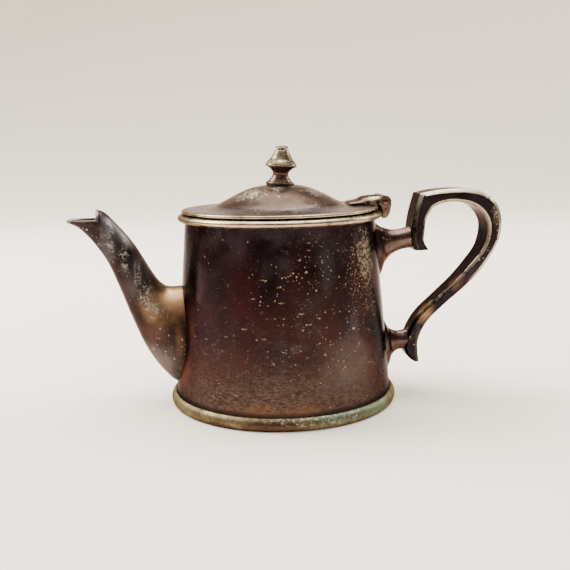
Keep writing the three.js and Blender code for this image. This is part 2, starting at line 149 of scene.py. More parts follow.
# Socket stations, body to handle: top x, top z, bottom x, bottom z, half width.
UPPER_SOCKET = [
    (42.0, 88.0, 45.5, 53.0, 12.5),
    (46.4, 84.5, 49.2, 59.6, 9.2),
    (50.0, 82.0, 51.2, 64.8, 6.8),
    (54.6, 80.7, 54.9, 68.9, 5.4),
    (59.0, 81.0, 59.3, 70.9, 5.1),
    (64.6, 82.6, 64.6, 71.6, 6.2),
]
LOWER_SOCKET = [
    (47.5, 40.5, 50.5, 6.5, 11.0),
    (51.0, 35.9, 53.3, 13.0, 8.0),
    (53.0, 32.2, 54.8, 17.4, 6.0),
    (56.2, 30.2, 57.2, 19.9, 4.9),
    (59.6, 30.0, 59.8, 20.5, 4.7),
    (62.4, 30.8, 62.0, 20.2, 5.4),
]

# Finial outline as radius and height above the dome.
FINIAL_SPOOL = [
    (1.8, -1.4), (6.1, -1.4), (6.5, -0.4), (6.9, 0.2), (6.5, 0.8), (5.8, 1.1), (5.3, 1.8), (4.5, 2.8),
    (3.8, 4.0), (3.75, 5.0), (4.2, 6.0), (5.1, 6.9), (6.5, 7.8), (7.4, 8.3), (7.5, 8.8),
    (7.3, 9.3), (6.9, 9.6), (1.8, 9.6),
]
FINIAL_CONE = [
    (1.8, 9.7), (6.6, 9.7), (6.8, 10.1), (6.5, 10.5), (5.6, 11.4), (4.8, 12.6), (4.0, 14.2),
    (3.2, 15.7), (2.5, 16.1), (1.8, 16.3),
]
FINIAL_STEM = [(0.3, -6.4), (1.3, -6.4), (1.4, -6.2)]
FINIAL_BUTTON = [
    (1.4, 12.0), (1.4, 16.3), (2.4, 16.4), (2.85, 16.8), (2.85, 17.5), (2.3, 17.9), (0.3, 18.05),
]

# ---- surfaces


def wall_radius(z):
    """Outside radius of the wall: a straight taper, r = r0 + (r1 - r0)(z - z0)/(z1 - z0)."""
    share = (z - WALL_FOOT_Z) / (WALL_TOP_Z - WALL_FOOT_Z)
    return WALL_FOOT_RADIUS + (WALL_TOP_RADIUS - WALL_FOOT_RADIUS) * share


def along(stations, t):
    """Catmull-Rom curve through the stations at t in 0..1; any shape of t, one column per value."""
    p = np.asarray(stations, float)
    last = len(p) - 1
    s = np.clip(t, 0, 1) * last
    i = np.minimum(s.astype(int), last - 1)
    f = (s - i)[..., None]
    before, here = p[np.maximum(i - 1, 0)], p[i]
    there, after = p[np.minimum(i + 1, last)], p[np.minimum(i + 2, last)]
    lead, tail = (there - before) / 2, (after - here) / 2
    cubic = 2 * (here - there) + lead + tail
    square = 3 * (there - here) - 2 * lead - tail
    return ((cubic * f + square) * f + lead) * f + here


def smooth_outline(points, per_span=6):
    """A rounded version of an outline: Catmull-Rom with per_span steps between points."""
    count = (len(points) - 1) * per_span + 1
    return along(points, np.linspace(0, 1, count))


def arc(centre, radius, start, end, count):
    """Points of a circular arc in the radius-height plane, angles in degrees."""
    a = np.radians(np.linspace(start, end, count))
    return np.column_stack([centre[0] + radius * np.cos(a), centre[1] + radius * np.sin(a)])


def turned(outline, count=192, wobble=None):
    """Rings of (r cos a, r sin a, z) for every outline point; wobble(a, z) is added to r."""
    outline = np.asarray(outline, float)
    a = np.linspace(0, 2 * np.pi, count, endpoint=False)[None, :]
    r, z = outline[:, :1], outline[:, 1:]
    z = np.broadcast_to(z, (len(outline), count))
    if wobble is not None:
        r = r + wobble(a, z)
    return np.stack([r * np.cos(a), r * np.sin(a), z], axis=-1)


def handling_dents(a, z):
    """Slow hand-raised waviness of the wall, a few hundredths of a millimetre."""
    return 0.05 * np.sin(3 * a + z / 17) + 0.035 * np.sin(7 * a - z / 11) + 0.02 * np.sin(11 * a + z / 6)


def oval(stations, t, angle, inset=0.0):
    """centre(t) + up(t)(h - inset)cos(angle) in XZ and (w - inset)sin(angle) in Y."""
    s = along(stations, t)
    top, bottom, half_width = s[..., 0:2], s[..., 2:4], s[..., 4]
    centre = (top + bottom) / 2
    up = (top - bottom) / 2
    half_height = np.linalg.norm(up, axis=-1)
    rise = up * ((half_height - inset) / half_height * np.cos(angle))[..., None]
    y = (half_width - inset) * np.sin(angle)
    return np.stack([centre[..., 0] + rise[..., 0], y, centre[..., 1] + rise[..., 1]], axis=-1)


def crossing(test, low, high, rounds=40):
    """Where test(t) turns from negative to positive between low and high, by halving."""
    for _ in range(rounds):
        middle = (low + high) / 2
        past = test(middle) > 0
        high = np.where(past, middle, high)
        low = np.where(past, low, middle)
    return (low + high) / 2


def into_notch(point):
    """Positive inside the notch: above its level lower edge and in front of its steep back,
    or beyond the blunt tip. Corners are eased by log-sum-exp over ROUNDING millimetres."""
    x, z = point[..., 0], point[..., 2]
    slope = (NOTCH_CORNER[1] - NOTCH_TIP[1]) / (NOTCH_CORNER[0] - NOTCH_TIP[0])
    lean = (NOTCH_BACK[0] - NOTCH_CORNER[0]) / (NOTCH_BACK[1] - NOTCH_CORNER[1])
    above = z - (NOTCH_TIP[1] + slope * (x - NOTCH_TIP[0]))
    ahead = NOTCH_CORNER[0] + lean * (z - NOTCH_CORNER[1]) - x
    beyond = NOTCH_TIP[0] - TIP_BLUNT - x
    opening = -ROUNDING * np.logaddexp(-above / ROUNDING, -ahead / ROUNDING)
    return ROUNDING * np.logaddexp(opening / ROUNDING, beyond / ROUNDING)


def spout_rings(rows=110, columns=96):
    """Hollow spout: each lengthwise line runs from the wall (r = wall radius) to the notch.

    The outside goes up to the lip, a half-round edge turns it over, and the inside comes back.
    """
    angle = np.linspace(0, 2 * np.pi, columns, endpoint=False)[None, :]
    embed = 0.5
    edge_steps = 5

    def clear_of_wall(inset):
        def test(t):
            p = oval(SPOUT, t, angle, inset)
            return np.hypot(p[..., 0], p[..., 1]) - wall_radius(p[..., 2]) + embed

        return test

    def side(inset):
        zeros = np.zeros_like(angle)
        root = crossing(clear_of_wall(inset), zeros, zeros + 0.5)
        mouth = crossing(lambda t: into_notch(oval(SPOUT, t, angle, inset)), zeros + 0.55, zeros + 1)
        share = np.linspace(0, 1, rows)[:, None]
        return oval(SPOUT, root + (mouth - root) * share, angle, inset)

    outside, inside = side(0.0), side(SHEET)
    outward = outside[-1] - outside[-2]
    outward /= np.linalg.norm(outward, axis=-1, keepdims=True)
    turn = np.linspace(0, np.pi, edge_steps + 2)[1:-1, None, None]
    middle, reach = (outside[-1] + inside[-1]) / 2, (outside[-1] - inside[-1]) / 2
    edge = middle + reach * np.cos(turn) + outward * (SHEET / 2.2) * np.sin(turn)
    return np.concatenate([outside, edge, inside[::-1]])


def socket_rings(stations, rows=60, columns=72, ridge=0.0):
    """Flared arm: an oval carried along its stations from the middle of the wall's thickness.

    A soft ridge, in millimetres, runs along each side. The hidden end is closed by smaller
    and smaller rings laid on the same surface, r = wall radius - half the sheet.
    """
    angle = np.linspace(0, 2 * np.pi, columns, endpoint=False)[None, :]
    zeros = np.zeros_like(angle)

    def arm(t):
        return oval(stations, t, angle, -ridge * np.cos(3 * angle) ** 2 * np.sin(np.pi * t))

    def clear_of_wall(t):
        p = arm(t)
        return np.hypot(p[..., 0], p[..., 1]) - wall_radius(p[..., 2]) + SHEET / 2

    root = crossing(clear_of_wall, zeros, zeros + 0.6)
    rings = arm(root + (1 - root) * np.linspace(0, 1, rows)[:, None])
    middle = rings[0].mean(axis=0)
    closing = middle + (rings[0] - middle) * np.array([0.03, 0.25, 0.5, 0.75])[:, None, None]
    y, z = closing[..., 1], closing[..., 2]
    closing[..., 0] = np.sqrt((wall_radius(z) - SHEET / 2) ** 2 - y**2)
    return np.concatenate([closing, rings])


def handle_section():
    """Section corners as (depth share, side, depth nudge, width nudge, wear), once round.

    Each edge is a flat chamfer between two small roundings; wear is 1 on the chamfer.
    """
    soft = CHAMFER_SOFT
    quarters = []
    for chamfer in (INNER_CHAMFER, OUTER_CHAMFER):
        quarters.append(np.asarray([
            (chamfer + soft * 3, 0.0, 0.0),
            (chamfer + soft, 0.0, 0.45),
            (chamfer, 0.06, 0.9),
            (chamfer - soft * 0.7, soft * 0.7, 1.0),
            (soft * 0.7, chamfer - soft * 0.7, 1.0),
            (0.06, chamfer, 0.9),
            (0.0, chamfer + soft, 0.45),
            (0.0, chamfer + soft * 3, 0.0),
        ]))
    inner, outer = quarters
    rows = []
    for depth_end, side, part in ((0, -1, inner[::-1]), (1, -1, outer), (1, 1, outer[::-1]), (0, 1, inner)):
        for depth_in, width_in, wear in part:
            rows.append((depth_end, side, depth_in, width_in, wear))
    return np.asarray(rows)


def handle_rings():
    """Flat-sided bar: the section stretched between the inner and the outer edge lines."""
    leg = along(HANDLE_LEG, np.linspace(0, 1, 50))
    loop = along(HANDLE_LOOP, np.linspace(0, 1, 260))[1:]
    s = np.concatenate([leg, loop])[:, None, :]
    outer, inner, half_width = s[..., 0:2], s[..., 2:4], s[..., 4]
    thickness = np.linalg.norm(outer - inner, axis=-1)
    out = (outer - inner) / thickness[..., None]
    end, side, depth_in, width_in, wear = handle_section().T[:, None, :]
    shrink = np.minimum(1, thickness * MOST_CHAMFER / OUTER_CHAMFER)
    depth = np.where(end > 0, thickness - depth_in * shrink, depth_in * shrink)
    depth = np.clip(depth, 0, thickness)
    y = side * (half_width - width_in * shrink)
    flat = inner + out * depth[..., None]
    points = np.stack([flat[..., 0], np.broadcast_to(y, depth.shape), flat[..., 1]], axis=-1)
    return points, wear * handle_wear(flat[..., 0], flat[..., 1], end > 0)


def handle_wear(x, z, on_outer):
    """Share of wear on the edges: full round the bend, where a hand rubs, less on the arm
    by the upper socket, and fading down the lower leg."""
    leg_z, fade_height = 52, 16
    arm_z, arm_x, bend_width = 56, 65, 9
    above_leg = np.clip((z - leg_z) / fade_height, 0.0, 1.0)
    fade = np.where(on_outer, 0.25 + 0.75 * above_leg, 0.55 + 0.45 * above_leg)
    to_bend = np.clip((x - arm_x) / bend_width, 0.0, 1.0)
    arm_share = np.where(z > arm_z, 0.45 + 0.55 * to_bend, 1.0)
    sheltered = (z < 30) | ((x < 76) & (z < 86))
    return np.minimum(arm_share, np.where(sheltered, 0.5, 1.0)) * fade


def cross_rod(radius, x, z, y0, y1, soft=0.35, columns=48, dome=0.0):
    """Round rod along Y with rounded rims and an optional domed end."""
    outline = np.concatenate([
        [[0.05, y0 - dome], [radius * 0.6, y0 - dome * 0.6]],
        arc((radius - soft, y0 + soft), soft, -90, 0, 5),
        arc((radius - soft, y1 - soft), soft, 0, 90, 5),
        [[radius * 0.6, y1 + dome * 0.6], [0.05, y1 + dome]],
    ])
    a = np.linspace(0, 2 * np.pi, columns, endpoint=False)[None, :]
    r, y = outline[:, :1], outline[:, 1:]
    return np.stack([x + r * np.cos(a), y + 0 * a, z + r * np.sin(a)], axis=-1)


def slab(outline, y0, y1, soft=0.4):
    """A flat outline of x, z carried from y0 to y1, its rim drawn in by soft at both faces."""
    outline = np.asarray(outline, float)
    centre = outline.mean(axis=0)
    near = [(y0, 1.0), (y0 + soft * 0.3, 0.4), (y0 + soft, 0.0)]
    far = [(y1 - soft, 0.0), (y1 - soft * 0.3, 0.4), (y1, 1.0)]
    reach = np.linalg.norm(outline - centre, axis=1, keepdims=True)
    rings = []
    for y, drawn in near + far:
        ring = centre + (outline - centre) * (1 - soft * drawn / reach)
        rings.append(np.column_stack([ring[:, 0], np.full(len(ring), y), ring[:, 1]]))
    return np.stack(rings)


def leaf_rings(rows=60, half_steps=14):
    """Crowned leaf: z = edge + (middle - edge)(1 - v^2) across, swept up to the knuckle.

    The stations are x, half width, z at the edges and z along the middle.
    """
    neck_x, neck_slope = 44, 0.55
    stations = [
        (32.6, 5.8, 93.7, 93.9),
        (33.2, 6.9, 95.1, 95.2),
        (35.6, 7.2, 95.4, 95.8),
        (37.6, 7.2, 95.5, 96.4),
        (39.8, 7.2, 95.7, 97.6),
        (42.4, 6.6, 95.9, 97.95),
        (46.4, 6.0, 97.0, 98.1),
        (49.6, 5.9, 97.8, 98.1),
    ]
    s = along(stations, np.linspace(0, 1, rows))
    v = np.linspace(-1, 1, 2 * half_steps + 1)[None, :]
    x, half, edge, middle = (s[:, k : k + 1] for k in range(4))
    round_over = 0.7 * np.abs(v) ** 12
    top = edge + (middle - edge) * (1 - v**2) - round_over
    upper = np.stack([x + 0 * v, half * v, top], axis=-1)
    lower_z = LEAF_UNDERSIDE_Z + np.maximum(x - neck_x, 0) * neck_slope
    lower = np.stack([x + 0 * v, half * v * 0.98, lower_z + 0 * v], axis=-1)
    return np.concatenate([upper, lower[:, ::-1]], axis=1)


# ---- meshes


def place_mm(points):
    """Millimetres on the pot's axis to metres in the row frame."""
    return (np.asarray(points, float).reshape(-1, 3) + [AXIS_X, 0, 0]) * MM


def skin(rings, loop):
    """Vertices and quads over rings of points; loop joins the last ring to the first,
    otherwise each end is closed by a fan to its middle."""
    rings = np.asarray(rings, float)
    n, m = rings.shape[:2]
    index = np.arange(n * m).reshape(n, m)
    nxt = np.roll(index, -1, axis=1)
    low, high = (index, np.roll(index, -1, axis=0)) if loop else (index[:-1], index[1:])
    low_next, high_next = (nxt, np.roll(nxt, -1, axis=0)) if loop else (nxt[:-1], nxt[1:])
    quads = np.stack([low, low_next, high_next, high], axis=-1).reshape(-1, 4)
    verts = rings.reshape(-1, 3)
    fans = np.zeros((0, 3), int)
    if not loop:
        hub = len(verts)
        verts = np.concatenate([verts, rings[0].mean(0)[None], rings[-1].mean(0)[None]])
        first = np.stack([nxt[0], index[0], np.full(m, hub)], axis=-1)
        last = np.stack([index[-1], nxt[-1], np.full(m, hub + 1)], axis=-1)
        fans = np.concatenate([first, last])
    volume = 0.0
    for triangles in (quads[:, :3], quads[:, [0, 2, 3]], fans):
        a, b, c = np.moveaxis(verts[triangles], 1, 0)
        volume += np.sum(np.cross(a, b) * c)
    if volume < 0:
        quads, fans = quads[:, ::-1], fans[:, ::-1]
    return verts, quads, fans


def placed(name, data):
    obj = bpy.data.objects.new(name, data)
    bpy.context.scene.collection.objects.link(obj)
    return obj


def piece(name, skins, body, nodes, finish, slot, wear=None, crease=38):
    """One mesh object from one or more skins, riding a body and standing for CAD nodes."""
    verts, faces, start = [], [], 0
    for v, quads, fans in skins:
        verts.append(v)
        faces += (quads + start).tolist()
        faces += (fans + start).tolist()
        start += len(v)
    mesh = bpy.data.meshes.new(name)
    mesh.from_pydata(place_mm(np.concatenate(verts)), [], faces)
    mesh.polygons.foreach_set("use_smooth", np.ones(len(mesh.polygons), bool))
    mesh.set_sharp_from_angle(angle=math.radians(crease))
    if wear is not None:
        layer = mesh.attributes.new("wear", "FLOAT", "POINT")
        values = np.zeros(len(mesh.vertices), np.float32)
        values[: wear.size] = wear.reshape(-1)
        layer.data.foreach_set("value", values)
    mesh.materials.append(finish)
    mesh.validate()
    obj = placed(name, mesh)
    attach(obj, body)
    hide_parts(*nodes)
    return obj


# ---- finishes


class Finish:
    """A procedural metal finish read from the object's own coordinates, in metres."""

    def __init__(self, name, metallic, edge_tint=(0.33, 0.29, 0.28)):
        self.material = bpy.data.materials.new(name)
        self.material.use_nodes = True
        tree = self.material.node_tree
        self.nodes, self.links = tree.nodes, tree.links
        self.shader = self.nodes["Principled BSDF"]
        self.shader.inputs["Metallic"].default_value = metallic
        self.feed(self.shader.inputs["Specular Tint"], edge_tint)
        self.place = self.add("TexCoord").outputs["Object"]
        split = self.add("SeparateXYZ", Vector=self.place)
        self.x, self.y, self.z = split.outputs

    def add(self, kind, settings=None, **inputs):
        node = self.nodes.new("ShaderNode" + kind)
        for key, value in (settings or {}).items():
            setattr(node, key, value)
        for key, value in inputs.items():
            self.feed(node.inputs[key.replace("_", " ")], value)
        return node

    def feed(self, socket, value):
        if isinstance(value, bpy.types.NodeSocket):
            self.links.new(value, socket)
        elif socket.type == "RGBA":
            socket.default_value = (*value[:3], 1.0)
        else:
            socket.default_value = value

    def math(self, operation, a, b=0.0):
        node = self.add("Math", {"operation": operation})
        self.feed(node.inputs[0], a)
        self.feed(node.inputs[1], b)
        return node.outputs[0]

    def vector(self, operation, a, b=None):
        node = self.add("VectorMath", {"operation": operation})
        self.feed(node.inputs[0], a)
        if b is not None:
            self.feed(node.inputs[1], b)
        return node.outputs["Value" if operation == "LENGTH" else "Vector"]

    def both(self, *masks):
        """Product of masks."""
        out = masks[0]
        for mask in masks[1:]:
            out = self.math("MULTIPLY", out, mask)
        return out

    def either(self, *masks):
        """Largest of masks."""
        out = masks[0]
        for mask in masks[1:]:
            out = self.math("MAXIMUM", out, mask)
        return out

    def ease(self, value, start, end, low=0.0, high=1.0):
        """Smooth step from low at start to high at end."""
        limits = {"From_Min": start, "From_Max": end, "To_Min": low, "To_Max": high}
        node = self.add("MapRange", {"interpolation_type": "SMOOTHSTEP"}, Value=value, **limits)
        return node.outputs["Result"]

    def stretched(self, stretch, shift=(0, 0, 0)):
        return self.add("Mapping", Vector=self.place, Scale=stretch, Location=shift).outputs["Vector"]

    def noise(self, size, detail=4.0, rough=0.55, stretch=(1, 1, 1), shift=(0, 0, 0)):
        """Cloudy noise 0..1 with features about size millimetres across."""
        node = self.add(
            "TexNoise",
            Vector=self.stretched(stretch, shift),
            Scale=1000.0 / size,
            Detail=detail,
            Roughness=rough,
        )
        return node.outputs["Fac"]

    def mix(self, factor, a, b):
        node = self.add("Mix", {"data_type": "RGBA"})
        self.feed(node.inputs[0], factor)
        self.feed(node.inputs[6], a)
        self.feed(node.inputs[7], b)
        return node.outputs[2]

    def blot(self, centre, reach, ragged=0.9, grain=5.0, core=0.55):
        """Ragged patch, 0 beyond reach and 1 inside core of it; in millimetres on the pot's axis."""
        middle = [(centre[0] + AXIS_X) * MM, centre[1] * MM, centre[2] * MM]
        offset = self.vector("SUBTRACT", self.place, middle)
        length = self.vector("LENGTH", self.vector("DIVIDE", offset, [r * MM for r in reach]))
        torn = self.math("MULTIPLY", self.math("SUBTRACT", self.noise(grain, 6.0, 0.65), 0.5), ragged * 2)
        return self.ease(self.math("ADD", length, torn), 1.0, core)

    def specks(self, cell, share, seed=0.0, smallest=0.07, largest=0.3, stretch=(1, 1, 1)):
        """Small torn marks, one to a cell of cell millimetres, in that share of the cells."""
        tear_size, tear_reach = 0.8, 2.2
        bend = self.add("TexNoise", Vector=self.place, Scale=1000.0 / tear_size, Detail=5.0, Roughness=0.75)
        amount = self.add("VectorMath", {"operation": "SCALE"})
        self.feed(amount.inputs[0], bend.outputs["Color"])
        amount.inputs["Scale"].default_value = tear_reach * MM
        shifted = self.stretched(stretch, (seed, seed * 0.7, seed * 1.3))
        moved = self.vector("ADD", shifted, amount.outputs[0])
        cells = self.add("TexVoronoi", Vector=moved, Scale=1000.0 / cell)
        dice = self.add("SeparateColor", Color=cells.outputs["Color"])
        chosen = self.math("LESS_THAN", dice.outputs[0], share)
        spread = self.math("POWER", dice.outputs[1], 2.2)
        limit = self.ease(spread, 0.0, 1.0, smallest, largest)
        inside = self.ease(self.math("SUBTRACT", cells.outputs["Distance"], limit), 0.03, -0.04)
        return self.both(chosen, inside)

    def bump(self, *layers):
        """Stacked bumps, each a (height, depth in millimetres) pair."""
        normal = None
        for height, depth in layers:
            node = self.add("Bump", Height=height)
            node.inputs["Distance"].default_value = depth * MM
            if normal is not None:
                self.feed(node.inputs["Normal"], normal)
            normal = node.outputs["Normal"]
        self.feed(self.shader.inputs["Normal"], normal)

    def stain(self, colour, *masks):
        """Lay a colour over the base as far as every mask allows."""
        self.base = self.mix(self.both(*masks), self.base, colour)

    def roughness(self, value):
        self.feed(self.shader.inputs["Roughness"], value)

    def done(self):
        self.feed(self.shader.inputs["Base Color"], self.base)
        return self.material


PLUM = (0.014, 0.008, 0.010)
MAROON = (0.030, 0.011, 0.010)
UMBER = (0.025, 0.014, 0.011)
# Copper with a painted highlight, for the lit edge of the spout's root.
COPPER_EDGE_HIGHLIGHT = (0.190, 0.090, 0.045)
GREY_BROWN = (0.085, 0.062, 0.052)
CRIMSON = (0.036, 0.009, 0.011)
VIOLET_GREY = (0.105, 0.074, 0.088)
OLD_SILVER = (0.520, 0.430, 0.310)
DULL_SILVER = (0.300, 0.235, 0.155)
# Worn brass with a painted glint of window light, for the spout's root.
BRASS_WITH_PAINTED_GLINT = (0.380, 0.215, 0.105)
OCHRE = (0.220, 0.130, 0.072)
SOOT = (0.016, 0.010, 0.009)
VERDIGRIS = (0.150, 0.200, 0.125)


def on_wall(angle, z):
    """Point on the near side of the wall, angle degrees from the handle towards the viewer."""
    a = math.radians(angle)
    r = wall_radius(z)
    return (r * math.cos(a), -r * math.sin(a), z)


def tarnished_wall():
    """Dark plum and maroon tarnish with streaks, a brushed copper band low down, pale specks
    and a patch beside the handle where the silver still shows."""
    f = Finish("tarnished_wall", 0.9)
    cloud = f.noise(30, 5.0, 0.62)
    streak = f.noise(13, 4.0, 0.6, stretch=(1, 1, 0.16))
    brushed = f.noise(1.0, 6.0, 0.8, stretch=(0.45, 0.45, 1.3))
    ragged_height = f.math("ADD", f.z, f.both(f.noise(30, 6.0, 0.7), 34 * MM))
    low = f.ease(ragged_height, 54 * MM, 26 * MM)
    pits = f.specks(0.7, 0.30, 0.21, 0.10, 0.34)
    inner = inner_face(f)
    silver = f.both(wall_silver(f), f.math("SUBTRACT", 1.0, inner))

    f.base = f.mix(f.ease(cloud, 0.38, 0.64), PLUM, MAROON)
    f.stain(UMBER, f.ease(streak, 0.46, 0.72), 0.8)
    upper_wall_stains(f)
    low_wall_band(f, low, brushed)
    f.stain(SOOT, pits, low, 0.75)
    metal = f.mix(f.ease(f.noise(3.0, 4.0, 0.7), 0.35, 0.65), DULL_SILVER, OLD_SILVER)
    f.stain(metal, silver, 0.8)
    foot_seam = f.ease(f.z, 8.6 * MM, 6.4 * MM)
    f.stain(SOOT, foot_seam, 0.85)
    wall_lining(f, cloud, inner)

    satin = f.ease(f.noise(9, 5.0, 0.6), 0.3, 0.7, 0.15, 0.27)
    rough = f.math("ADD", satin, f.both(low, 0.16))
    f.roughness(f.math("ADD", rough, f.both(silver, 0.12)))
    f.bump(
        (f.noise(0.8, 3.0), 0.012),
        (silver, -0.035),
        (f.both(pits, low), -0.05),
        (f.both(brushed, low), 0.02),
        (streak, 0.04),
    )
    return f.done()


def upper_wall_stains(f):
    """Red streaks, a plum side towards the spout, violet under the bead, grey haze, and painted sheen
    streaks on the near side.
    """
    red = f.either(
        f.blot(on_wall(116, 64), (11, 30, 32), 0.5, 14.0, 0.1),
        f.both(f.blot(on_wall(88, 74), (8, 30, 22), 0.5, 10.0, 0.1), 0.7),
    )
    f.stain(CRIMSON, red, 0.75)
    spout_side = f.blot(on_wall(150, 58), (24, 40, 44), 0.4, 16.0, 0.1)
    f.stain(PLUM, spout_side, 0.7)
    patchy = f.ease(f.noise(12, 4.0, 0.6, shift=(0.6, 0.2, 0.4)), 0.35, 0.65)
    under_bead = f.both(f.ease(f.z, 66 * MM, 90 * MM), patchy)
    f.stain(VIOLET_GREY, under_bead, 0.55)
    fine = f.noise(1.8, 5.0, 0.75, shift=(0.2, 0.5, 0.1))
    f.stain((0.043, 0.027, 0.024), f.ease(fine, 0.50, 0.70), 0.5)
    # Grey haze from the noise, and two tall blots of painted sheen: pale streaks standing in for light
    # reflected off the near side.
    haze_and_sheen = f.either(
        f.both(f.ease(f.noise(22, 5.0, 0.65, shift=(0.3, 0.1, 0.2)), 0.52, 0.74), 0.35),
        f.both(f.blot(on_wall(71, 72), (6, 9, 22), 0.5, 6.0, 0.1), 0.5),
        f.both(f.blot(on_wall(33, 60), (9, 9, 24), 0.5, 8.0, 0.1), 0.6),
    )
    f.stain((0.085, 0.074, 0.079), haze_and_sheen)


def low_wall_band(f, low, brushed):
    """Brushed brown band above the foot, greyed to the right, with a coppery glow."""
    band = f.mix(f.ease(brushed, 0.38, 0.62), (0.028, 0.016, 0.013), (0.098, 0.062, 0.048))
    f.stain(band, low, 0.85)
    greyed = f.blot(on_wall(60, 24), (22, 34, 20), 0.6, 8.0, 0.1)
    f.stain((0.088, 0.073, 0.063), greyed, 0.4)
    glow = f.either(
        f.blot(on_wall(100, 6), (34, 30, 7), 0.9, 6.0, 0.1),
        f.blot(on_wall(163, 22), (9, 13, 15), 0.5, 6.0, 0.1),
        f.blot(on_wall(156, 44), (5, 7, 20), 0.4, 6.0, 0.1),
    )
    brushed_glow = f.both(glow, 0.6, f.ease(brushed, 0.30, 0.55, 0.4, 1.0))
    f.stain((0.155, 0.070, 0.038), brushed_glow)


def wall_silver(f):
    """Where silver shows: torn specks of several sizes, a worn patch and one scratch."""
    used_side = f.blot(on_wall(78, 52), (38, 70, 42), 0.5, 12.0, 0.5)
    gathered = f.ease(f.noise(20, 3.0, shift=(0.5, 0.2, 0.9)), 0.36, 0.54)
    scatter = f.both(gathered, f.ease(used_side, 0, 1, 0.18, 1.0))
    clusters = f.ease(f.noise(7, 3.0, shift=(0.1, 0.4, 0.6)), 0.46, 0.60)
    dusting = f.ease(f.noise(9, 3.0, shift=(0.1, 0.2, 0.5)), 0.5, 0.6)
    marks = f.either(
        f.both(f.specks(2.4, 0.34, 0.0, 0.03, 0.20), scatter),
        f.both(f.specks(1.2, 0.30, 0.4, 0.08, 0.32), scatter),
        f.both(f.specks(0.9, 0.22, 2.3, 0.10, 0.34), scatter, clusters),
        f.both(f.specks(4.2, 0.20, 0.8, 0.03, 0.17), scatter),
        f.both(f.specks(1.7, 0.16, 1.3, 0.08, 0.30, (0.42, 0.42, 1.4)), scatter),
        f.both(f.specks(2.0, 0.10, 1.9, 0.06, 0.26, (1.5, 1.5, 0.5)), scatter),
        f.both(f.specks(0.8, 0.10, 0.6, 0.10, 0.34), dusting),
    )
    near_handle = f.blot(on_wall(46, 66), (13, 13, 26), 0.9, 7.0)
    worn_through = f.blot(on_wall(41, 73), (6, 7, 13), 1.6, 3.0)
    worn = f.either(
        f.both(worn_through, f.ease(f.noise(1.3, 5.0, 0.8), 0.46, 0.56)),
        f.both(near_handle, f.ease(f.noise(1.0, 5.0, 0.8, shift=(0.7, 0.1, 0.2)), 0.57, 0.62)),
    )
    scratch_noise = f.noise(4.0, 1.0, 0.4, stretch=(2.6, 1, 0.22), shift=(0.13, 0.4, 0.1))
    scratch = f.both(f.ease(scratch_noise, 0.735, 0.75), f.blot(on_wall(122, 72), (9, 9, 12), 0.2))
    return f.either(marks, worn, scratch)


def inner_face(f):
    """1 on the inner face of the wall, 0 outside: radius + slope z falls short of the middle."""
    slope = 0.0852  # how fast the wall narrows upwards
    flat = f.add("CombineXYZ", X=f.math("SUBTRACT", f.x, AXIS_X * MM), Y=f.y)
    radius = f.vector("LENGTH", flat.outputs[0])
    reach = f.math("ADD", radius, f.both(f.z, slope))
    return f.ease(reach, 52.7 * MM, 52.3 * MM)


def wall_lining(f, cloud, inner):
    """Plain dull plate on the inner face, with rows of strainer holes behind the spout painted as dark
    discs, painted shade standing in for openings.
    """
    hole_pitch = 6.5
    across_x = f.stretched((0.01, 1, 1))
    cells = f.add("TexVoronoi", Vector=across_x, Scale=1000.0 / hole_pitch, Randomness=0.0)
    hole = f.ease(cells.outputs["Distance"], 0.27, 0.24)
    behind_spout = f.both(
        f.ease(f.x, -43 * MM, -47 * MM),
        f.ease(f.z, 16 * MM, 18 * MM),
        f.ease(f.z, 52 * MM, 50 * MM),
    )
    lining = f.mix(f.ease(cloud, 0.3, 0.7), (0.16, 0.11, 0.08), (0.30, 0.25, 0.20))
    f.stain(lining, inner, 0.9)
    # Painted shade: dark discs stand in for the strainer's openings; nothing is cut.
    f.stain(SOOT, inner, behind_spout, hole)


